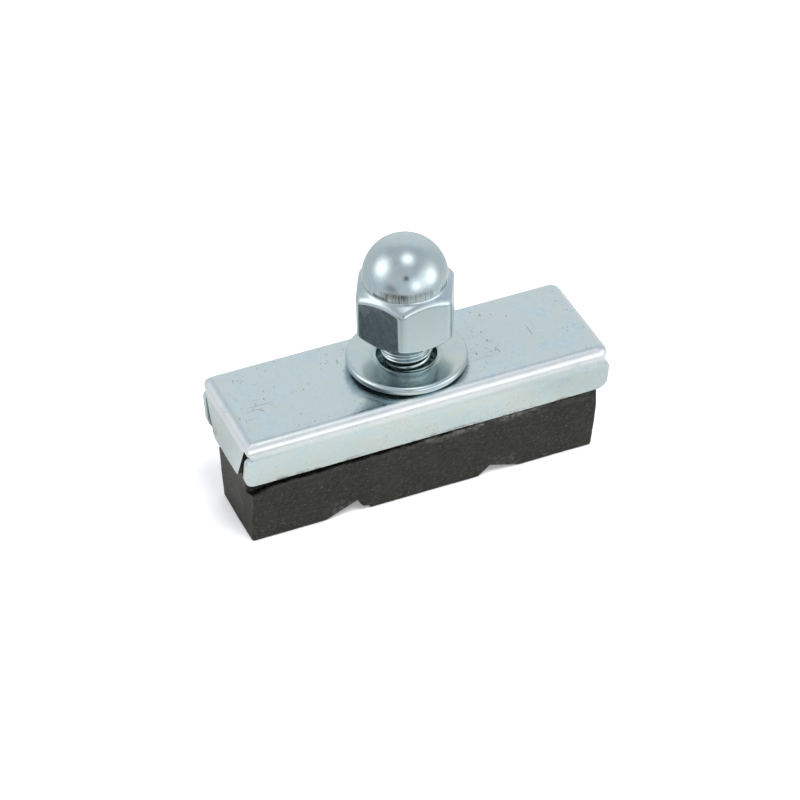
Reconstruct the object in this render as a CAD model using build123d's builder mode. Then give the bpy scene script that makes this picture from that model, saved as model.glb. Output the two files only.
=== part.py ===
"""Bicycle rim brake pad.

A rubber brake block is crimped in a folded steel holder. A stud held under the holder's plate
carries a washer and a dome nut, which clamp the pad to the brake arm. The pad stands on its
braking face: X runs along the pad, Y across it and Z up the stud, from the centre of that face.
"""

import os
from math import cos, radians, sin, sqrt, tan

from build123d import *

os.makedirs("parts", exist_ok=True)

# Holder: one zinc-plated sheet, folded down on all four sides
holder_length = 41.4
holder_width = 13.6
sheet = 0.8
fold_inner = 0.3
corner_flat = 0.15
flange_height = 6.1
flange_lean = 12.5
flange_corner = 1.2
flap_height = 5.9
flap_width = 7.0
flap_lean = 1.5
flap_corner = 0.7
relief_cut = 0.45
relief_height = 0.85
relief_slope = 38.0
ear_round = 0.7

# Rubber block: a dovetail foot in the holder and a drafted body below it
block_height = 8.8
side_draft = 0.45
end_draft = 0.2
end_lip = 0.15
foot_round = 0.5
foot_clearance = 0.1
notch_centre = 7.75
notch_depth = 1.25
notch_ramp = 3.4
notch_wall = 1.4

# Stud, washer and dome nut, M6
stud_diameter = 6.0
stud_hole_clearance = 0.2
stud_tip_chamfer = 0.8
head_size = 9.0
head_thickness = 1.8
head_chamfer = 0.3
washer_margin = 0.3
washer_thickness = 1.3
washer_lift = 0.3
washer_lift_run = 1.8
washer_rim_round = 0.42
washer_bore_chamfer = 0.15
arm_gap = 3.55
thread_engaged = 4.8
nut_across_flats = 10.0
nut_height = 11.0
nut_turn = 3.2
nut_edge_round = 0.75
nut_chamfer_angle = 37.0
dome_diameter = 9.1
dome_collar = 0.45
bore_wall = 2.2
bore_chamfer = 0.45
thread_clearance = 0.05

# Heights and places that follow from them
fold_outer = fold_inner + sheet
plate_corner = fold_outer + corner_flat
flange_edge = block_height
plate_top = flange_edge + flange_height
plate_under = plate_top - sheet
fold_end = plate_top - fold_outer
flap_edge = plate_top - flap_height
body_top = min(flange_edge, flap_edge) - foot_clearance
washer_diameter = holder_width - 2 * washer_margin
washer_top = plate_top + washer_thickness
nut_bottom = washer_top + arm_gap
stud_top = nut_bottom + thread_engaged
stud_hole = stud_diameter / 2 + stud_hole_clearance
reach = holder_length
tolerance = 0.01


def flange_half(height, inset):
    """Half the width between the side flanges at a height, measured inset from their outer skin."""
    lean = radians(flange_lean)
    fold_centre = holder_width / 2 - fold_outer
    return fold_centre + (fold_outer - inset + (height - fold_end) * sin(lean)) / cos(lean)


def flap_half(height, inset):
    """Half the length between the end flaps at a height, measured inset from their outer skin."""
    lean = radians(flap_lean)
    fold_centre = holder_length / 2 - fold_outer
    return fold_centre + (fold_outer - inset - (height - fold_end) * sin(lean)) / cos(lean)


def folded_size(height, inset):
    """Length and width of the folded sheet at a height, measured inset from its outer skin."""
    return 2 * flap_half(height, inset), 2 * flange_half(height, inset)


def drafted_form(low, low_size, high, high_size):
    """Block with flat sides that lean from one rectangle, at a low height, to another above it."""
    with BuildPart() as form:
        for axis, plane, mode in ((1, Plane.YZ, Mode.ADD), (0, Plane.XZ, Mode.INTERSECT)):
            with BuildSketch(plane.offset(-reach)):
                with BuildLine():
                    Polyline(
                        (-low_size[axis] / 2, low),
                        (low_size[axis] / 2, low),
                        (high_size[axis] / 2, high),
                        (-high_size[axis] / 2, high),
                        close=True,
                    )
                make_face()
            extrude(amount=2 * reach, mode=mode)
    return form.part


def folded_form(inset, bottom):
    """Solid within the folded sheet, inset from its outer skin, from a low height to the plate."""
    top = plate_top - inset
    return drafted_form(bottom, folded_size(bottom, inset), top, folded_size(top, inset))


cavity_floor = flange_edge - sheet
foot_inset = sheet + foot_clearance

# Hollow of the holder, one sheet inside its outer skin
with BuildPart() as cavity:
    add(folded_form(sheet, cavity_floor))
    fillet(cavity.edges().group_by(Axis.Z)[-1], fold_inner)

# What is trimmed off the plate's corners, round a post whose top is rounded as the folds are
with BuildPart() as corner_posts:
    with BuildSketch(Plane.XY.offset(fold_end - relief_height)):
        with GridLocations(holder_length - 2 * plate_corner, holder_width - 2 * plate_corner, 2, 2):
            Circle(plate_corner)
    extrude(amount=relief_height + fold_outer)
    fillet(corner_posts.edges().group_by(Axis.Z)[-1], fold_outer)
with BuildPart() as corner_trim:
    with BuildSketch(Plane.XY.offset(fold_end - relief_height)):
        with GridLocations(holder_length, holder_width, 2, 2):
            Rectangle(2 * plate_corner, 2 * plate_corner)
    extrude(amount=relief_height + fold_outer)
    add(corner_posts.part, mode=Mode.SUBTRACT)

# Holder
with BuildPart() as holder:
    add(folded_form(0, flange_edge))
    fillet(holder.edges().group_by(Axis.Z)[-1], fold_outer)
    add(cavity.part, mode=Mode.SUBTRACT)
    add(corner_trim.part, mode=Mode.SUBTRACT)

    # Gaps that part each tapered end flap from the side flanges
    flap_shoulder = holder_width / 2 - fold_outer
    gap_start = flap_half(plate_under, sheet) - sheet
    for end in (1, -1):
        with BuildSketch(Plane.YZ.offset(end * gap_start)):
            with BuildLine():
                Polyline(
                    (flange_half(fold_end, sheet), fold_end),
                    (flange_half(cavity_floor, sheet), cavity_floor),
                    (-flange_half(cavity_floor, sheet), cavity_floor),
                    (-flange_half(fold_end, sheet), fold_end),
                    close=True,
                )
            make_face()
            with BuildLine():
                Polyline(
                    (flap_shoulder, fold_end),
                    (flap_width / 2, flap_edge),
                    (-flap_width / 2, flap_edge),
                    (-flap_shoulder, fold_end),
                    close=True,
                )
            make_face(mode=Mode.SUBTRACT)
        extrude(amount=end * reach, mode=Mode.SUBTRACT)

    # Fold reliefs, which leave an ear at each end of the side flanges
    relief_rise = reach * tan(radians(relief_slope))
    for side in (1, -1):
        with BuildSketch(Plane.XZ.offset(side * flap_shoulder)):
            for end in (1, -1):
                relief_x = end * (holder_length / 2 - relief_cut)
                with BuildLine():
                    Polyline(
                        (relief_x, fold_end),
                        (relief_x, fold_end - relief_height),
                        (relief_x + end * reach, fold_end - relief_height - relief_rise),
                        (relief_x + end * reach, fold_end),
                        close=True,
                    )
                make_face()
        extrude(amount=side * reach, mode=Mode.SUBTRACT)

    flange_ends = holder.edges().filter_by_position(
        Axis.Z, flange_edge - tolerance, flange_edge + tolerance
    )
    fillet(flange_ends.filter_by(Axis.Y), flange_corner)
    ear_tops = holder.faces().filter_by(GeomType.PLANE).filter_by(lambda face: 0.5 < face.normal_at().Z < 0.9)
    fillet([top.edges().sort_by(lambda edge: abs(edge.center().X))[-1] for top in ear_tops], ear_round)
    flap_ends = holder.edges().filter_by_position(
        Axis.Z, flap_edge - tolerance, flap_edge + tolerance
    )
    fillet(flap_ends.filter_by(Axis.X), flap_corner)

    with Locations((0, 0, plate_top)):
        Hole(stud_hole, depth=2 * sheet)
holder.part.label = "holder"
export_step(holder.part, "parts/holder.step")

# Brake block
foot_length, foot_width = folded_size(body_top, foot_inset)
body_size = (foot_length + 2 * end_lip, foot_width)
face_size = (body_size[0] - 2 * end_draft, body_size[1] - 2 * side_draft)
with BuildPart() as brake_block:
    add(folded_form(foot_inset, body_top))
    fillet(brake_block.edges().group_by(Axis.Z)[-1], foot_round)

    add(drafted_form(0, face_size, body_top, body_size))

    # Two notches across the braking face, each with a steep inner wall and a long outer ramp
    with BuildSketch(Plane.XZ.offset(-reach)):
        for side in (1, -1):
            with BuildLine():
                Polyline(
                    (side * (notch_centre - notch_wall), 0),
                    (side * notch_centre, notch_depth),
                    (side * (notch_centre + notch_ramp), 0),
                    close=True,
                )
            make_face()
    extrude(amount=2 * reach, mode=Mode.SUBTRACT)

    # Pocket for the stud's head
    with BuildSketch(Plane.XY.offset(plate_under)):
        Rectangle(head_size + 2 * foot_clearance, head_size + 2 * foot_clearance)
    extrude(amount=-head_thickness - foot_clearance, mode=Mode.SUBTRACT)
brake_block.part.label = "brake_block"
export_step(brake_block.part, "parts/brake_block.step")

# Stud: a square head under the plate and an M6 shank
with BuildPart() as stud:
    with BuildSketch(Plane.XY.offset(plate_under)):
        Rectangle(head_size, head_size)
    extrude(amount=-head_thickness)
    chamfer(stud.edges().group_by(Axis.Z)[0], head_chamfer)
    with BuildSketch(Plane.XY.offset(plate_under)):
        Circle(stud_diameter / 2)
    extrude(amount=stud_top - plate_under)
    chamfer(stud.edges().group_by(Axis.Z)[-1], stud_tip_chamfer)
stud.part.label = "stud"
export_step(stud.part, "parts/stud.step")

# Washer, nearly as wide as the plate, with a rolled rim that stands clear of it
with BuildPart() as washer:
    with BuildSketch(Plane.XY.offset(plate_top)):
        Circle(washer_diameter / 2)
        Circle(stud_hole, mode=Mode.SUBTRACT)
    extrude(amount=washer_thickness)
    chamfer(washer.edges().filter_by(GeomType.CIRCLE).group_by(SortBy.RADIUS)[0], washer_bore_chamfer)
    lower_rim = washer.edges().group_by(Axis.Z)[0].sort_by(SortBy.RADIUS)[-1]
    chamfer(lower_rim, washer_lift_run, washer_lift, reference=washer.faces().sort_by(Axis.Z)[0])
    fillet(washer.edges().filter_by(GeomType.CIRCLE).group_by(SortBy.RADIUS)[-1], washer_rim_round)
washer.part.label = "washer"
export_step(washer.part, "parts/washer.step")

# Dome nut: a turned blank with coned corners and a domed top, cut to a hexagon
dome_radius = dome_diameter / 2
dome_centre = nut_bottom + nut_height - dome_radius
cone_top = dome_centre - dome_collar
cone_slope = tan(radians(nut_chamfer_angle))
blank_radius = nut_across_flats / sqrt(3) + tolerance
bore_radius = stud_diameter / 2 + thread_clearance
bore_depth = nut_height - bore_wall
with BuildPart() as dome_nut:
    with BuildSketch(Plane.XZ):
        with BuildLine():
            Polyline(
                (0, nut_bottom + nut_height),
                (0, nut_bottom),
                (nut_across_flats / 2, nut_bottom),
                (blank_radius, nut_bottom + (blank_radius - nut_across_flats / 2) * cone_slope),
                (blank_radius, cone_top - (blank_radius - dome_radius) * cone_slope),
                (dome_radius, cone_top),
                (dome_radius, dome_centre),
            )
            CenterArc((0, dome_centre), dome_radius, 0, 90)
        make_face()
    revolve(axis=Axis.Z)
    with BuildSketch(Plane.XY.offset(nut_bottom)) as hexagon:
        RegularPolygon(nut_across_flats / 2, 6, major_radius=False, rotation=nut_turn)
        fillet(hexagon.vertices(), nut_edge_round)
    extrude(amount=nut_height, mode=Mode.INTERSECT)
    with BuildSketch(Plane.XY.offset(nut_bottom)):
        Circle(bore_radius)
    extrude(amount=bore_depth, mode=Mode.SUBTRACT)
    mouth = dome_nut.edges().filter_by(GeomType.CIRCLE).group_by(Axis.Z)[0]
    chamfer(mouth.sort_by(SortBy.RADIUS)[0], bore_chamfer)
dome_nut.part.label = "dome_nut"
export_step(dome_nut.part, "parts/dome_nut.step")
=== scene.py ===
"""Looks of a bicycle rim brake pad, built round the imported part."""

import math

import bmesh
import bpy
import numpy as np
from mathutils import Matrix, Vector, noise


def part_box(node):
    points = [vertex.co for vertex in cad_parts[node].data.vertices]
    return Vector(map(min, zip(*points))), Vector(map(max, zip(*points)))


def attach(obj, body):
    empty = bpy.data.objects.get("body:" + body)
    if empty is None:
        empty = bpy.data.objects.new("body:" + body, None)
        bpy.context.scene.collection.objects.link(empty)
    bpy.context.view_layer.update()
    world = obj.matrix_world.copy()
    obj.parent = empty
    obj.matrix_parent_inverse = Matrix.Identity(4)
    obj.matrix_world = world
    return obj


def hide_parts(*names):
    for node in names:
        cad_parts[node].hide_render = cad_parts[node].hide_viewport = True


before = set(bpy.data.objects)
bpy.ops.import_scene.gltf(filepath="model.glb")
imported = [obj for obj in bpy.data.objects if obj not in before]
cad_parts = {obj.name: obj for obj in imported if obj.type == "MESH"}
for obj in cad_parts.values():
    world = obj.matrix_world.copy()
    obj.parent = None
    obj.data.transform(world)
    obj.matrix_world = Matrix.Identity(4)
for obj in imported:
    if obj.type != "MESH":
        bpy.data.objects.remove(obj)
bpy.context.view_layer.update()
scene = bpy.context.scene
mm = 0.001

# Sizes that the CAD boxes don't give, in mm, with angles in degrees

# Stud
pitch = 1.0
thread_depth = 0.58
thread_root_share = 0.22
thread_flank_share = 0.62
shank_radius = 3.0
tip_chamfer = 0.8
tip_round = 0.12
neck_radius = 2.4
neck_below_washer = 1.6
neck_above_washer = 2.2
head_size = 9.0
head_thickness = 1.8
head_chamfer = 0.3

# Dome nut
across_flats = 10.0
hex_turn = 3.2
hex_round = 1.0
cone_angle = 37.0
cone_round = 0.50
base_round = 0.25
dome_radius = 4.55
collar_height = 0.45
collar_round = 0.22
beyond_nut = 9.0
bore_radius = 3.05
bore_depth = 8.8
bore_chamfer = 0.45
tool_marks_low = 6.0
tool_marks_high = 7.2

# Washer
stud_hole = 3.2
washer_rim = 0.42
washer_lift = 0.3
washer_lift_run = 1.8
washer_chamfer = 0.15

# Holder
sheet_edge = 0.2
corner_axis = (19.45, 5.55)
corner_reach = 1.6
fold_low = 13.3
fold_start = 13.8
fold_half_length = 19.9
fold_half_width = 5.9
cut_half_length = 19.4
cut_half_at_floor = -0.47
cut_widening = 0.458

# Rubber block
block_top_half = 4.774
block_low_half = 4.324
block_end_low = 19.884
block_end_high = 20.084
block_middle = 7.0
foot_end = 19.93
foot_half = 5.83
foot_start = 8.7
foot_round = 0.5
rubber_round = 0.3
notch_start = 6.35
notch_apex = 7.75
notch_end = 11.15
notch_fade = 4
left_hollow = 0.40
right_bulge = 0.30
lip_height = 7.8
lip_drop = 0.6
lip_end_drop = 0.7
lip_tear = 0.22
lip_gap = 0.2
bite_least = 0.35
bite_sag = 0.7

# Places from the CAD parts' boxes, in mm
holder_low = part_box("holder")[0] / mm
block_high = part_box("brake_block")[1] / mm
stud_low, stud_high = (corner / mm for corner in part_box("stud"))
washer_low, washer_high = (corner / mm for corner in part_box("washer"))
nut_low, nut_high = (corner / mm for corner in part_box("dome_nut"))


# Mesh helpers

def ring_mesh(name, rows, looped=False):
    """Mesh through a stack of point rings in mm, closed at both ends or back onto its first ring."""
    count, columns = rows.shape[:2]
    index = np.arange(count * columns).reshape(count, columns)
    low = index if looped else index[:-1]
    high = np.roll(index, -1, axis=0) if looped else index[1:]
    corners = [low, np.roll(low, -1, axis=1), np.roll(high, -1, axis=1), high]
    faces = np.stack(corners, axis=-1).reshape(-1, 4).tolist()
    if not looped:
        faces += [index[0][::-1].tolist(), index[-1].tolist()]
    mesh = bpy.data.meshes.new(name)
    mesh.from_pydata((rows.reshape(-1, 3) * mm).tolist(), [], faces)
    mesh.shade_smooth()
    return mesh


def rings(radii, levels, angles):
    """Point rings at the given radii (one for each level and angle), levels and angles."""
    radii = np.broadcast_to(radii, (len(levels), len(angles)))
    levels = np.broadcast_to(np.reshape(levels, (-1, 1)), radii.shape)
    return np.stack([radii * np.cos(angles), radii * np.sin(angles), levels], axis=-1)


def full_turn(count):
    """Angles evenly spaced round a full turn."""
    return np.linspace(0, 2 * np.pi, count, endpoint=False)


def arc(centre, radius, start, stop, steps):
    """Points of a round in a section, from a start to a stop angle in degrees."""
    turn = np.radians(np.linspace(start, stop, steps))
    return np.stack([centre[0] + radius * np.cos(turn), centre[1] + radius * np.sin(turn)], axis=-1)


def smooth_min(a, b, width):
    """The smaller of two lengths, with a rounded change from one to the other."""
    share = np.clip(0.5 + 0.5 * (b - a) / width, 0, 1)
    return b + (a - b) * share - width * share * (1 - share)


def smooth_max(a, b, width):
    """The larger of two lengths, with a rounded change from one to the other."""
    return -smooth_min(-a, -b, width)


def ease(value, low, high):
    """Smooth step from 0 to 1 between two values."""
    share = np.clip((value - low) / (high - low), 0, 1)
    return share * share * (3 - 2 * share)


def joined_copy(node, name):
    """Mesh with a CAD node's shape, its facets joined into whole faces."""
    form = bmesh.new()
    form.from_mesh(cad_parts[node].data)
    bmesh.ops.remove_doubles(form, verts=form.verts, dist=0.002 * mm)
    bmesh.ops.dissolve_limit(
        form, angle_limit=math.radians(0.5), verts=form.verts, edges=form.edges
    )
    mesh = bpy.data.meshes.new(name)
    form.to_mesh(mesh)
    form.free()
    return mesh


def place(name, mesh, node, body, material):
    """Piece that stands for a CAD node and moves with its body."""
    piece = bpy.data.objects.new(name, mesh)
    scene.collection.objects.link(piece)
    mesh.materials.clear()
    mesh.materials.append(material)
    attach(piece, body)
    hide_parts(node)
    return piece


# Material helpers

def add_node(tree, kind, inputs=None, **settings):
    """Shader node whose inputs are values or the outputs of other nodes."""
    made = tree.nodes.new("ShaderNode" + kind)
    for key, value in settings.items():
        setattr(made, key, value)
    for key, value in (inputs or {}).items():
        if isinstance(value, bpy.types.NodeSocket):
            tree.links.new(value, made.inputs[key])
        else:
            made.inputs[key].default_value = value
    return made


def new_material(name):
    """Material with a node tree, its shader and its place in the piece, in mm."""
    material = bpy.data.materials.new(name)
    material.use_nodes = True
    tree = material.node_tree
    place_node = add_node(tree, "TexCoord")
    scaled = add_node(tree, "VectorMath", {0: place_node.outputs["Object"]}, operation="SCALE")
    scaled.inputs["Scale"].default_value = 1 / mm
    return material, tree, tree.nodes["Principled BSDF"], scaled.outputs["Vector"]


def axes(tree, vector):
    """X, Y and Z of a place or a direction."""
    return add_node(tree, "SeparateXYZ", {0: vector}).outputs


def grain(tree, where, scale, detail=3.0, stretch=(1, 1, 1), turn=(0, 0, 0), rough=0.55):
    """Noise at a scale per mm, stretched and turned."""
    turned = add_node(tree, "Mapping", {"Vector": where, "Rotation": turn, "Scale": stretch})
    made = add_node(
        tree,
        "TexNoise",
        {"Vector": turned.outputs["Vector"], "Scale": scale, "Detail": detail, "Roughness": rough},
    )
    return made.outputs["Fac"]


def between(tree, value, low, high, start=0.0, stop=1.0):
    """A value carried from one range to another, kept within it."""
    made = add_node(
        tree,
        "MapRange",
        {"Value": value, "From Min": low, "From Max": high, "To Min": start, "To Max": stop},
    )
    return made.outputs["Result"]


def maths(tree, operation, a, b=0.0):
    """Result of one operation on two values."""
    return add_node(tree, "Math", {0: a, 1: b}, operation=operation).outputs["Value"]


def product(tree, first, *others):
    """All the values multiplied together."""
    for other in others:
        first = maths(tree, "MULTIPLY", first, other)
    return first


def tinted(tree, share, first, second):
    """Colour between two, by share."""
    made = add_node(tree, "Mix", {0: share}, data_type="RGBA")
    for socket, value in ((made.inputs[6], first), (made.inputs[7], second)):
        if isinstance(value, bpy.types.NodeSocket):
            tree.links.new(value, socket)
        else:
            socket.default_value = (*value, 1)
    return made.outputs[2]


def scaled_colour(colour, factors):
    """Colour times a factor, or a factor for each of its parts."""
    return tuple(np.multiply(colour, factors))


def raised(tree, height, depth, normal=None):
    """Bump of a depth in mm."""
    inputs = {"Height": height, "Distance": depth * mm, "Strength": 1.0}
    if normal is not None:
        inputs["Normal"] = normal
    return add_node(tree, "Bump", inputs).outputs["Normal"]


# Zinc plate

burnished = (0.83, 0.87, 0.88)
# Painted shade for the flaps' cut edges in the slits beside the ears
cut_edge_shade = (0.035, 0.042, 0.038)
old_dirt = (0.13, 0.11, 0.085)
blue_cast = (0.92, 0.98, 1.04)
warm_cast = (1.08, 1.02, 0.965)
dull_cast = 1.16
mark_cast = 0.35
mark_depth = 0.004
scratch_roughness = 0.12
gloss_range = 0.12


def scratches_and_pits(tree, where):
    """Shares of fine scratches, which run two ways, and of pits, both thicker in some patches."""
    worn = grain(tree, where, scale=0.22, detail=2, turn=(0.1, 0.7, 0.3))
    worn = between(tree, worn, low=0.35, high=0.65, start=-0.05, stop=0.05)
    lines = grain(tree, where, scale=1.0, detail=2, stretch=(0.16, 5.5, 5.5), turn=(0, 0, 0.35))
    cross = grain(tree, where, scale=1.0, detail=2, stretch=(4.5, 0.2, 4.5), turn=(0, 0, 0.5))
    flecks = grain(tree, where, scale=3.4, detail=2, stretch=(1, 0.45, 1), turn=(0, 0, 0.6))
    lines = between(tree, maths(tree, "ADD", lines, worn), low=0.69, high=0.80)
    cross = between(tree, maths(tree, "SUBTRACT", cross, worn), low=0.70, high=0.81)
    pits = between(tree, maths(tree, "ADD", flecks, worn), low=0.68, high=0.76)
    return maths(tree, "MAXIMUM", lines, cross), pits


def tool_marks(tree, where, low, high):
    """Share of upright tool marks between two heights, deeper where the collar was struck."""
    fade = 0.2
    struck_at = (-2.7, -3.65, high - 0.4)
    level = axes(tree, where)["Z"]
    upright = grain(tree, where, scale=1.0, detail=1, stretch=(4.2, 4.2, 0.3))
    upright = between(tree, upright, low=0.50, high=0.68, stop=0.55)
    gouged = grain(tree, where, scale=1.0, detail=1, stretch=(4.4, 4.4, 0.25))
    gouged = between(tree, gouged, low=0.49, high=0.55, stop=0.98)
    distance = add_node(tree, "VectorMath", {0: where, 1: struck_at}, operation="DISTANCE")
    struck = between(tree, distance.outputs["Value"], low=1.9, high=0.8)
    return product(
        tree,
        between(tree, level, low, low + fade),
        between(tree, level, high, high - fade),
        maths(tree, "MAXIMUM", upright, product(tree, gouged, struck)),
    )


def edge_dirt(tree, where, edge):
    """Share of patchy dirt just above the sheet's lower edge."""
    patchy = grain(tree, where, scale=1.3, detail=4, stretch=(0.6, 1, 1))
    above = between(tree, axes(tree, where)["Z"], low=edge + 0.55, high=edge, stop=0.75)
    return product(tree, above, between(tree, patchy, low=0.48, high=0.62))


def rubbed_folds(tree, where, bloom):
    """Share of burnish on the sheet's folds."""
    fade = 0.5
    place_axes = axes(tree, where)
    length = maths(tree, "ABSOLUTE", place_axes["X"])
    width = maths(tree, "ABSOLUTE", place_axes["Y"])
    beyond = maths(
        tree,
        "MAXIMUM",
        between(tree, length, fold_half_length, fold_half_length + fade),
        between(tree, width, fold_half_width, fold_half_width + fade),
    )
    above = between(tree, place_axes["Z"], fold_low - 0.3, fold_low + 0.6)
    return product(tree, beyond, above, between(tree, bloom, low=0.25, high=0.5, start=0.5))


def shaded_cut_edges(tree, where):
    """Share of painted shade on the end flaps' cut edges that face the front, in the slits beside
    the ears.

    They lie beyond a length, and within a width that grows with the height.
    """
    facing = axes(tree, add_node(tree, "TexCoord").outputs["Normal"])["Y"]
    place_axes = axes(tree, where)
    length = maths(tree, "ABSOLUTE", place_axes["X"])
    width = maths(tree, "ABSOLUTE", place_axes["Y"])
    width = maths(tree, "SUBTRACT", width, product(tree, place_axes["Z"], cut_widening))
    return product(
        tree,
        between(tree, facing, low=-0.5, high=-0.75),
        between(tree, length, cut_half_length, cut_half_length + 0.2),
        between(tree, width, cut_half_at_floor + 0.1, cut_half_at_floor),
    )


def zinc(name, roughness, wear, ripple, tint, mottle=0.0, turned=None, folded=False):
    """Zinc plate on steel: clouded, with fine scratches and pits.

    Where asked for, it is finely mottled, carries upright tool marks between two heights, or is
    the folded sheet: dirty at its lower edge, burnished on its folds and darkened by painted shade
    on the cut edges in the slits beside the ears.
    """
    material, tree, shader, where = new_material(name)
    clouds = grain(tree, where, scale=0.16, detail=4)
    bloom = grain(tree, where, scale=0.45, detail=4, turn=(0.4, 0.2, 0.9))
    scratch, pits = scratches_and_pits(tree, where)
    marks = product(tree, maths(tree, "MAXIMUM", scratch, pits), wear)
    if turned:
        marks = maths(tree, "MAXIMUM", marks, tool_marks(tree, where, *turned))

    blue = scaled_colour(tint, blue_cast)
    warm = scaled_colour(tint, warm_cast)
    colour = tinted(tree, between(tree, clouds, low=0.35, high=0.65), blue, tint)
    glossy, matte = roughness * (1 - gloss_range), roughness * (1 + gloss_range)
    soft = between(tree, clouds, low=0.3, high=0.7, start=glossy, stop=matte)
    if mottle:
        dull = grain(tree, where, scale=1.5, detail=5, turn=(0.5, 0.3, 0.1), rough=0.65)
        dull = between(tree, dull, low=0.36, high=0.66)
        soft = maths(tree, "ADD", soft, product(tree, dull, mottle))
        colour = tinted(tree, product(tree, dull, 0.5), colour, scaled_colour(tint, dull_cast))
    colour = tinted(tree, between(tree, bloom, low=0.36, high=0.70), colour, warm)
    colour = tinted(tree, marks, colour, scaled_colour(tint, mark_cast))
    soft = maths(tree, "ADD", soft, product(tree, scratch, scratch_roughness))
    if folded:
        for share, shade, rougher in (
            (edge_dirt(tree, where, holder_low.z), old_dirt, 0.3),
            (rubbed_folds(tree, where, bloom), burnished, 0.10),
            # painted shade on the cut edges in the slits beside the ears
            (shaded_cut_edges(tree, where), cut_edge_shade, 0.3),
        ):
            colour = tinted(tree, share, colour, shade)
            soft = maths(tree, "ADD", soft, product(tree, share, rougher))

    uneven = raised(tree, grain(tree, where, scale=0.55, detail=1), ripple)
    uneven = raised(tree, marks, -mark_depth, uneven)
    tree.links.new(colour, shader.inputs["Base Color"])
    tree.links.new(soft, shader.inputs["Roughness"])
    tree.links.new(uneven, shader.inputs["Normal"])
    shader.inputs["Metallic"].default_value = 1.0
    return material


# Rubber

deep_black = (0.0005, 0.0005, 0.0004)
soft_black = (0.010, 0.010, 0.008)
grain_grey = (0.033, 0.035, 0.027)
speck_grey = (0.17, 0.17, 0.15)
scuff_grey = (0.10, 0.10, 0.095)
# Light grey of the torn lip: partly the rubber's own, partly a painted highlight of the lip catching
# light
torn_and_lit_grey = (0.21, 0.21, 0.195)
rubber_grain_depth = 0.16
rubber_sheen = 0.36


def ramp_scuffs(tree, where):
    """Share of scuffs on the notches' ramps."""
    place_axes = axes(tree, where)
    run = maths(tree, "ABSOLUTE", place_axes["X"])
    return product(
        tree,
        between(tree, run, low=notch_apex, high=8.6),
        between(tree, run, low=11.6, high=10.4),
        between(tree, place_axes["Z"], low=2.6, high=0.8),
        between(tree, grain(tree, where, scale=1.6, detail=5), low=0.46, high=0.66),
    )


def lip_tears_and_sheen(tree, where):
    """Share of tears along the lip under the flanges, most of them right of the middle; their light
    grey is partly a painted highlight of the lip catching light.
    """
    place_axes = axes(tree, where)
    torn = grain(tree, where, scale=1.6, detail=6, stretch=(0.45, 1, 1), rough=0.78)
    return product(
        tree,
        between(tree, place_axes["Z"], low=6.7, high=7.5),
        between(tree, place_axes["X"], low=-4, high=2, start=0.3),
        between(tree, place_axes["X"], low=15, high=10, start=0.3),
        between(tree, torn, low=0.47, high=0.60, stop=0.9),
    )


def black_rubber():
    """Matte black rubber, finely grained, with light specks, scuffed notch ramps and a torn lip that
    is partly lightened as a painted highlight.
    """
    material, tree, shader, where = new_material("black_rubber")
    clouds = grain(tree, where, scale=0.35, detail=4)
    fine = grain(tree, where, scale=2.0, detail=5, rough=0.62)
    specks = between(tree, grain(tree, where, scale=4.0, detail=2), low=0.66, high=0.71)
    clouds = between(tree, clouds, low=0.35, high=0.65)
    colour = tinted(tree, clouds, deep_black, soft_black)
    colour = tinted(tree, between(tree, fine, low=0.46, high=0.72), colour, grain_grey)
    colour = tinted(tree, product(tree, specks, 0.5), colour, speck_grey)
    colour = tinted(tree, ramp_scuffs(tree, where), colour, scuff_grey)
    # torn lip, lighter partly as a painted highlight
    colour = tinted(tree, lip_tears_and_sheen(tree, where), colour, torn_and_lit_grey)
    soft = between(tree, fine, low=0.3, high=0.7, start=0.30, stop=0.56)
    tree.links.new(colour, shader.inputs["Base Color"])
    tree.links.new(soft, shader.inputs["Roughness"])
    tree.links.new(raised(tree, fine, rubber_grain_depth), shader.inputs["Normal"])
    shader.inputs["Specular IOR Level"].default_value = rubber_sheen
    return material


sheet_zinc = zinc(
    "sheet_zinc",
    roughness=0.19,
    wear=0.7,
    ripple=0.010,
    tint=(0.583, 0.680, 0.712),
    mottle=0.09,
    folded=True,
)
bright_zinc = zinc(
    "bright_zinc", roughness=0.18, wear=0.25, ripple=0.003, tint=(0.59, 0.68, 0.68)
)
nut_zinc = zinc(
    "nut_zinc",
    roughness=0.13,
    wear=0.2,
    ripple=0.004,
    tint=(0.525, 0.62, 0.645),
    mottle=0.11,
    turned=(nut_low.z + tool_marks_low, nut_low.z + tool_marks_high),
)
washer_zinc = zinc(
    "washer_zinc", roughness=0.20, wear=0.35, ripple=0.005, tint=(0.56, 0.65, 0.66)
)
rubber = black_rubber()


# Stud with its thread

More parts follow.
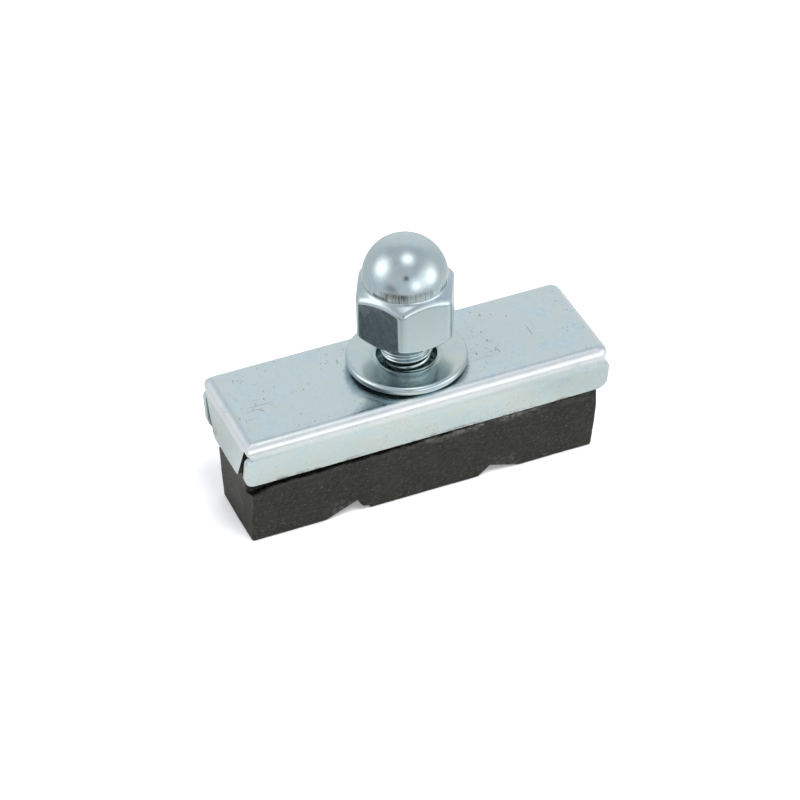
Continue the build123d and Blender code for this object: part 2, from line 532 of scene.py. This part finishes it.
def threaded_stud():
    """Square head, a bare neck and a shank with a rounded M6 thread that runs out at both ends."""
    angles = full_turn(96)
    square = 1 / np.maximum(np.abs(np.cos(angles)), np.abs(np.sin(angles)))
    half = head_size / 2
    head_top = stud_low.z + head_thickness
    head_levels = [stud_low.z, stud_low.z + head_chamfer, head_top, head_top]
    head = np.array([half - head_chamfer, half, half, shank_radius])[:, None] * square
    head[-1] = shank_radius - thread_depth

    levels = np.append(np.arange(head_top + 0.02, stud_high.z, pitch / 16), stud_high.z)
    phase = (levels[:, None] / pitch - angles / (2 * np.pi)) % 1.0
    rise = ease(
        np.abs(2 * phase - 1), thread_root_share, thread_root_share + thread_flank_share
    )
    shank = shank_radius - thread_depth + thread_depth * rise
    tip = shank_radius - tip_chamfer + (stud_high.z - levels[:, None])
    shank = smooth_min(shank, tip, tip_round)
    formed = ease(levels, washer_high.z - neck_below_washer, washer_high.z + neck_above_washer)
    shank = neck_radius + (shank - neck_radius) * formed[:, None]
    rows = np.concatenate([rings(head, head_levels, angles), rings(shank, levels, angles)])
    return ring_mesh("threaded_stud", rows)


# Dome nut

def nut_angles():
    """Angles round the nut, close together at its six edges."""
    steps = 20
    crowding = 1.7
    half = np.radians(30) * (np.arange(steps) / steps) ** crowding
    sector = np.sort(np.concatenate([half, np.radians(60) - half[:0:-1], [np.radians(30)]]))
    return np.radians(hex_turn) + np.concatenate([sector + k * np.pi / 3 for k in range(6)])


def rounded_hexagon(angles):
    """Distance from the axis to a hexagon with rounded edges."""
    edge = (angles - np.radians(hex_turn) + np.pi / 6) % (np.pi / 3) - np.pi / 6
    flat = across_flats / 2 / np.cos(np.pi / 6 - np.abs(edge))
    centre = (across_flats / 2 - hex_round) / np.cos(np.pi / 6)
    limit = math.atan2(hex_round / 2, centre + hex_round * math.cos(math.pi / 6))
    inside = np.maximum(hex_round**2 - (centre * np.sin(edge)) ** 2, 0)
    return np.where(np.abs(edge) < limit, centre * np.cos(edge) + np.sqrt(inside), flat)


def dome_nut():
    """Hexagon with coned and rounded ends, a domed top on a short collar and a blind bore."""
    angles = nut_angles()
    slope = math.tan(math.radians(cone_angle))
    dome_centre = nut_high.z - dome_radius
    cone_top = dome_centre - collar_height
    bore_radii = np.array([bore_radius, bore_radius, bore_radius + bore_chamfer])[:, None]
    bore_levels = nut_low.z + np.array([bore_depth, bore_chamfer, 0])

    last_turn = 89.2
    side_levels = np.linspace(nut_low.z, dome_centre, 110, endpoint=False)
    dome_levels = dome_centre + dome_radius * np.sin(np.radians(np.linspace(0, last_turn, 46)))
    levels = np.concatenate([side_levels, dome_levels])
    above = np.clip(levels - dome_centre, 0, dome_radius)
    dome = np.sqrt(dome_radius**2 - above**2)
    upper_cone = dome_radius + (cone_top - levels) / slope
    lower_cone = across_flats / 2 + (levels - nut_low.z) / slope
    body = np.minimum(smooth_max(dome, upper_cone, collar_round), beyond_nut)
    outer = smooth_min(rounded_hexagon(angles), body[:, None], cone_round)
    outer = smooth_min(outer, lower_cone[:, None], base_round)
    rows = np.concatenate([rings(bore_radii, bore_levels, angles), rings(outer, levels, angles)])
    return ring_mesh("dome_nut", rows)


# Washer

def washer():
    """Flat ring with a rolled rim, lifted off the plate, and a broken bore edge."""
    low, high = washer_low.z, washer_high.z
    outer = washer_high.x
    broken = stud_hole + washer_chamfer
    rim_low = (outer - washer_rim, low + washer_lift + washer_rim)
    rim_high = (outer - washer_rim, high - washer_rim)
    section = np.concatenate(
        [
            [(broken, high), (stud_hole, high - washer_chamfer), (stud_hole, low + washer_chamfer)],
            [(broken, low), (outer - washer_lift_run, low)],
            arc(rim_low, washer_rim, -85, 0, steps=9),
            arc(rim_high, washer_rim, 0, 90, steps=9),
            [(0.6 * outer + 0.4 * broken, high), (0.2 * outer + 0.8 * broken, high)],
        ]
    )
    rows = rings(section[:, :1], section[:, 1], full_turn(192))
    return ring_mesh("washer", rows, looped=True)


place("threaded_stud", threaded_stud(), "stud", "pad", bright_zinc)
place("cap_nut", dome_nut(), "dome_nut", "nut", nut_zinc)
place("rolled_washer", washer(), "washer", "pad", washer_zinc)


# Holder, with its cut edges broken and its two left corners pinched

def pinch_corner(mesh, side, crease):
    """Draws a left corner's round out to a crease on the diagonal, above the relief, by a share."""
    form = bmesh.new()
    form.from_mesh(mesh)
    axis = Vector((-corner_axis[0], side * corner_axis[1])) * mm
    near = {vert for vert in form.verts if (vert.co.xy - axis).length < corner_reach * mm}
    round_faces = [face for face in form.faces if near.issuperset(face.verts)]
    round_edges = {edge for face in round_faces for edge in face.edges}
    round_verts = {vert for face in round_faces for vert in face.verts}
    bmesh.ops.bisect_plane(
        form,
        geom=[*round_faces, *round_edges, *round_verts],
        dist=0.001 * mm,
        plane_co=(*axis, 0),
        plane_no=(side, 1, 0),
    )
    for vert in form.verts:
        out = (vert.co.xy - axis) * Vector((-1, side))
        if min(out) > 0:
            drawn = (out.length / max(out)) ** crease - 1
            share = float(ease(vert.co.z / mm, fold_low, fold_start))
            vert.co.xy = axis + (vert.co.xy - axis) * (1 + drawn * share)
    form.to_mesh(mesh)
    form.free()


near_crease = 1.0
far_crease = 0.45
broken_from = 35
holder_mesh = joined_copy("holder", "folded_holder")
pinch_corner(holder_mesh, -1, near_crease)
pinch_corner(holder_mesh, 1, far_crease)
holder_mesh.shade_smooth()
holder = place("folded_holder", holder_mesh, "holder", "pad", sheet_zinc)
rounding = holder.modifiers.new("broken_edges", "BEVEL")
rounding.width = sheet_edge * mm
rounding.segments = 3
rounding.limit_method = "ANGLE"
rounding.angle_limit = math.radians(broken_from)
rounding.harden_normals = True


# Rubber block

def along(points, count):
    """Points evenly spaced along a closed line."""
    loop = np.concatenate([points, points[:1]])
    reached = np.concatenate([[0], np.cumsum(np.hypot(*np.diff(loop, axis=0).T))])
    steps = np.linspace(0, reached[-1], count, endpoint=False)
    return np.stack([np.interp(steps, reached, loop[:, k]) for k in (0, 1)], axis=-1)


def inset_loop(loop, depth):
    """A closed section moved inwards along its own normals."""
    run = np.roll(loop, -1, axis=0) - np.roll(loop, 1, axis=0)
    run /= np.linalg.norm(run, axis=1, keepdims=True)
    return loop + depth * np.stack([-run[:, 1], run[:, 0]], axis=-1)


def noise_at(points, scale, seed):
    """Smooth noise at points in mm, from -1 to 1."""
    shift = Vector((seed, 2.3 * seed, -1.7 * seed))
    return np.array([noise.noise(Vector(point) * scale + shift) for point in points])


def block_section():
    """Section of the block across its length: drafted body, and a foot that widens upwards."""
    top = block_high.z
    right = np.concatenate(
        [
            arc((block_low_half - rubber_round, rubber_round), rubber_round, -90, 0, steps=6),
            [(block_top_half, foot_start)],
            arc((foot_half - foot_round, top - foot_round), foot_round, 0, 90, steps=6),
        ]
    )
    return along(np.concatenate([right, right[::-1] * (-1, 1)]), count=300)


def notch_height(x):
    """Height of the braking face's two notches; a lip has chipped off the left one's inner wall."""
    chipped_run, chipped_height = [6.2, 6.5, 7.2, notch_apex, 11.4], [0, 0.35, 0.5, 1.55, 0]
    whole_run, whole_height = [notch_start, 6.9, notch_apex, notch_end], [0, 0.45, 1.1, 0]
    left = np.interp(-x, chipped_run, chipped_height)
    right = np.interp(x, whole_run, whole_height)
    return np.maximum(left, right)


def block_end(levels):
    """Half the block's length at a height."""
    body = block_end_low + (block_end_high - block_end_low) * levels / foot_start
    return np.where(levels < foot_start + 0.05, body, foot_end)


def block_rows():
    """Rows of points along the block, from its left to its right end, both with rounded edges."""
    section = block_section()
    middle = np.array([0, block_middle])
    flat_end = inset_loop(section, rubber_round)
    end_round = rubber_round / block_end_low
    end_loops = 14
    loops = [(1, middle + (flat_end - middle) * k / end_loops) for k in range(1, end_loops)]
    for turn in np.radians(np.linspace(0, 90, 6))[::-1]:
        inset = rubber_round * (1 - math.cos(turn))
        loops.append((1 - end_round * (1 - math.sin(turn)), inset_loop(section, inset)))

    notch_lines = np.array([notch_start, notch_apex, notch_end])
    close = np.linspace(-0.2, 0.2, 9)
    fine = np.concatenate([line + close for line in (*notch_lines, *-notch_lines)])
    even = np.linspace(-1, 1, 150)
    runs = np.unique(np.concatenate([even, fine / block_end_low]))
    clear_of_ends = 1 - 1.2 * end_round
    body = [(run, section) for run in runs if abs(run) < clear_of_ends]

    rows = []
    for run, loop in [(-run, loop) for run, loop in loops] + body + loops[::-1]:
        x = run * block_end(loop[:, 1])
        lift = notch_height(x) * np.clip(1 - loop[:, 1] / notch_fade, 0, 1)
        rows.append(np.stack([x, loop[:, 0], loop[:, 1] + lift], axis=-1))
    return np.array(rows)


def squeeze_ends(points):
    """Hollows the left end at the front and bulges the right end."""
    x, y, z = points.T
    hollow_height, bulge_height, bulge_lean = 5.8, 9.5, 1.3
    below_lip = np.clip(z / hollow_height, 0, 1) * (1 - ease(z, 6.0, 7.3))
    left_front = ease(-x, 16, 20) * ease(-y, 1.5, 4)
    points[:, 0] += left_hollow * left_front * below_lip
    right_end = ease(x, 14, 20)
    barrel = np.sin(np.pi * np.clip(z / bulge_height, 0, 1) ** bulge_lean)
    points[:, 0] += right_bulge * right_end * barrel


def bite_lip(points):
    """Creases the sides under the flanges, more and lower to the left, behind a torn lip."""
    x, y, z = points.T
    leftward = ease(-x, -16, 19)
    left_end = ease(-x, 16.5, 20)
    torn = lip_tear * noise_at(points, scale=0.9, seed=4)
    lip = lip_height - lip_drop * leftward - lip_end_drop * left_end + torn
    crease_top = foot_start + lip_gap
    up = np.clip((z - lip) / (crease_top - lip), 0, 1)
    entry = 0.35
    under_foot = 1 - ease(z, crease_top, 9.6)
    sides = ease(np.abs(y), 3, 4)
    bite = sides * (bite_least + (1 - bite_least) * leftward)
    points[:, 1] -= np.sign(y) * bite * ease(up, 0, entry) * under_foot
    points[:, 2] -= bite_sag * bite * (ease(up, 0, entry) - ease(up, entry, 1))


def roughen(points):
    """Makes the sides and ends a little uneven."""
    x, y, z = points.T
    waves, bumps = 0.035, 0.014
    uneven = waves * noise_at(points, scale=0.3, seed=1)
    uneven = uneven + bumps * noise_at(points, scale=1.4, seed=2)
    endways = np.sign(x) * ease(np.abs(x), 19, 19.8)
    sideways = np.sign(y) * ease(np.abs(y), 3, 4)
    points += np.stack([endways, sideways, 0 * z], axis=-1) * uneven[:, None]


def rubber_block():
    """Moulded block with soft edges, pinched under the flanges and squeezed at its ends."""
    rows = block_rows()
    points = rows.reshape(-1, 3)
    squeeze_ends(points)
    bite_lip(points)
    roughen(points)
    return ring_mesh("rubber_block", rows)


place("rubber_block", rubber_block(), "brake_block", "pad", rubber)


# Floor: white and faintly glowing to the camera; to the metal and to bounce light it shows painted
# shade, darker away from the part and in soft spots, and it fades out

floor_reach = 3.0
floor_white = (0.93, 0.93, 0.93)
floor_glow = 0.25
floor_near = (0.87, 0.855, 0.79)
floor_far = (0.58, 0.59, 0.60)
floor_mesh = bpy.data.meshes.new("floor")
floor_sides = ((-1, -1), (1, -1), (1, 1), (-1, 1))
floor_mesh.from_pydata(
    [(x * floor_reach, y * floor_reach, 0) for x, y in floor_sides], [], [(0, 1, 2, 3)]
)
floor = bpy.data.objects.new("floor", floor_mesh)
scene.collection.objects.link(floor)
pale = bpy.data.materials.new("pale_floor")
pale.use_nodes = True
pale_tree = pale.node_tree
pale_shader = pale_tree.nodes["Principled BSDF"]
ground = add_node(pale_tree, "TexCoord").outputs["Object"]


def ground_distance(centre, size):
    """Distance on the floor from a centre, in sizes, all in mm."""
    shifted = add_node(
        pale_tree,
        "Mapping",
        {
            "Vector": ground,
            "Location": (centre[0] * mm, centre[1] * mm, 0),
            "Scale": (size[0] * mm, size[1] * mm, 1),
        },
        vector_type="TEXTURE",
    )
    distance = add_node(pale_tree, "VectorMath", {0: shifted.outputs["Vector"]}, operation="LENGTH")
    return distance.outputs["Value"]


def floor_shadow_spot(shade, centre, size, level):
    """Shade of the floor with a soft spot of painted shadow, of a grey level."""
    spot = between(pale_tree, ground_distance(centre, size), low=1.0, high=0.35)
    return tinted(pale_tree, spot, shade, (level, level, 0.94 * level))


# Painted shade seen only in reflections and bounce light: darker away from the part, with soft
# painted shadows in front and beside it
away = between(pale_tree, ground_distance((0, 0), (34, 20)), low=0.8, high=2.0)
shade = tinted(pale_tree, away, floor_near, floor_far)
shade = floor_shadow_spot(shade, centre=(4, -64), size=(62, 32), level=0.40)
shade = floor_shadow_spot(shade, centre=(-50, -46), size=(46, 46), level=0.25)
shade = floor_shadow_spot(shade, centre=(25, -12), size=(11, 8), level=0.66)
shade = floor_shadow_spot(shade, centre=(-28, 16), size=(14, 12), level=0.64)
straight = add_node(pale_tree, "LightPath").outputs["Is Camera Ray"]
nearby = between(pale_tree, ground_distance((0, 0), (1, 1)), low=160, high=90)
for value, socket in (
    (tinted(pale_tree, straight, shade, floor_white), "Base Color"),
    (maths(pale_tree, "MAXIMUM", straight, nearby), "Alpha"),
    (product(pale_tree, straight, floor_glow), "Emission Strength"),
):
    pale_tree.links.new(value, pale_shader.inputs[socket])
pale_shader.inputs["Emission Color"].default_value = (1, 1, 1, 1)
pale_shader.inputs["Roughness"].default_value = 0.9
pale_shader.inputs["Specular IOR Level"].default_value = 0.0
floor_mesh.materials.append(pale)


# Studio light: one soft lamp, which the metal doesn't mirror

def towards(azimuth, elevation):
    """Direction from the object, its azimuth from the front (-Y) towards the right (+X)."""
    a, e = math.radians(azimuth), math.radians(elevation)
    return Vector((math.sin(a) * math.cos(e), -math.cos(a) * math.cos(e), math.sin(e)))


lamp_aim = Vector((0, 0, 20)) * mm
lamp_side = towards(azimuth=20, elevation=66)
lamp_distance = 0.4
lamp_size = 0.22
lamp_radiance = 9.0
lamp = bpy.data.lights.new("key_light", "AREA")
lamp.shape = "ELLIPSE"
lamp.size = lamp_size
lamp.size_y = lamp_size
lamp.energy = lamp_radiance * math.pi * math.pi * lamp_size * lamp_size / 4
key_light = bpy.data.objects.new("key_light", lamp)
key_light.location = lamp_aim + lamp_side * lamp_distance
key_light.rotation_euler = (-lamp_side).to_track_quat("-Z", "Y").to_euler()
key_light.visible_glossy = False
scene.collection.objects.link(key_light)

# Tent round the object: grey, brighter behind, with lamps shining through it
world = bpy.data.worlds.new("tent")
scene.world = world
world.use_nodes = True
tent = world.node_tree
sight = add_node(tent, "TexCoord").outputs["Generated"]


def patch(colour, shade, azimuth, elevation, inner, outer, share=1.0):
    """Colour of the tent with a soft round patch of another shade, between two angles."""
    facing = add_node(
        tent, "VectorMath", {0: sight, 1: towards(azimuth, elevation)}, operation="DOT_PRODUCT"
    )
    round_share = add_node(
        tent,
        "MapRange",
        {
            "Value": facing.outputs["Value"],
            "From Min": math.cos(math.radians(outer)),
            "From Max": math.cos(math.radians(inner)),
            "To Max": share,
        },
        interpolation_type="SMOOTHSTEP",
    )
    return tinted(tent, round_share.outputs["Result"], colour, shade)


def grey(level, cool=0.04):
    """Shade of the tent, a little cool."""
    return (level * (1 - cool), level, level * (1 + 2 * cool))


def halo(colour, azimuth, elevation, spread):
    """Colour of the tent with the glow round a lamp."""
    return patch(colour, grey(1.15, cool=0), azimuth, elevation, inner=4, outer=34 * spread)


def core(colour, azimuth, elevation, spread, level=1.9):
    """Colour of the tent with a lamp's own bright spot."""
    return patch(colour, grey(level, cool=0), azimuth, elevation, inner=0, outer=21 * spread)


upwards = between(tent, axes(tent, sight)["Z"], low=0.75, high=0.45)
wall = tinted(tent, upwards, grey(0.62), grey(0.70))
wall = patch(wall, (0.845, 0.87, 0.88), azimuth=153, elevation=24, inner=17, outer=48)
wall = patch(wall, grey(0.35), azimuth=-58, elevation=-12, inner=6, outer=22)
wall = halo(wall, azimuth=-104, elevation=27, spread=1.1)
wall = halo(wall, azimuth=12, elevation=77, spread=0.75)
wall = halo(wall, azimuth=6, elevation=6, spread=0.75)
wall = halo(wall, azimuth=28, elevation=10, spread=0.8)
wall = halo(wall, azimuth=51, elevation=8, spread=1.1)
wall = core(wall, azimuth=-104, elevation=27, spread=1.15)
wall = core(wall, azimuth=12, elevation=77, spread=0.75)
wall = core(wall, azimuth=28, elevation=6, spread=0.75, level=1.4)
wall = core(wall, azimuth=6, elevation=4, spread=0.7)
wall = core(wall, azimuth=51, elevation=8, spread=1.05)
wall = patch(wall, grey(0.02), azimuth=-19.5, elevation=26.5, inner=4, outer=8.5)
# Light that reaches the metal by way of other metal comes from a dark side of the tent
bounced = between(tent, add_node(tent, "LightPath").outputs["Ray Depth"], low=2.4, high=2.6)
wall = patch(
    wall, grey(0.12, cool=0.06), azimuth=-93, elevation=40, inner=16, outer=36, share=bounced
)
tent.links.new(wall, tent.nodes["Background"].inputs["Color"])
tent.nodes["Background"].inputs["Strength"].default_value = 1.0


# Camera at the photograph's place

camera_azimuth = -22.34
camera_elevation = 38.53
camera_roll = -1.28
camera_distance = 355.4
camera_aim = (-0.97, 7.54)
focal_pixels = 3269.9
image_width = 800

back = towards(camera_azimuth, camera_elevation)
level_right = Vector((0, 0, 1)).cross(back).normalized()
level_up = back.cross(level_right)
roll = math.radians(camera_roll)
right = level_right * math.cos(roll) + level_up * math.sin(roll)
up = level_up * math.cos(roll) - level_right * math.sin(roll)
lens = bpy.data.cameras.new("camera")
lens.sensor_width = 36
lens.lens = focal_pixels / image_width * lens.sensor_width
lens.clip_start = 0.01
lens.clip_end = 20
camera = bpy.data.objects.new("camera", lens)
camera_place = (right * camera_aim[0] + up * camera_aim[1] + back * camera_distance) * mm
camera_turn = Matrix((right, up, back)).transposed().to_4x4()
camera.matrix_world = Matrix.Translation(camera_place) @ camera_turn
scene.collection.objects.link(camera)
scene.camera = camera
scene.view_settings.view_transform = "Standard"
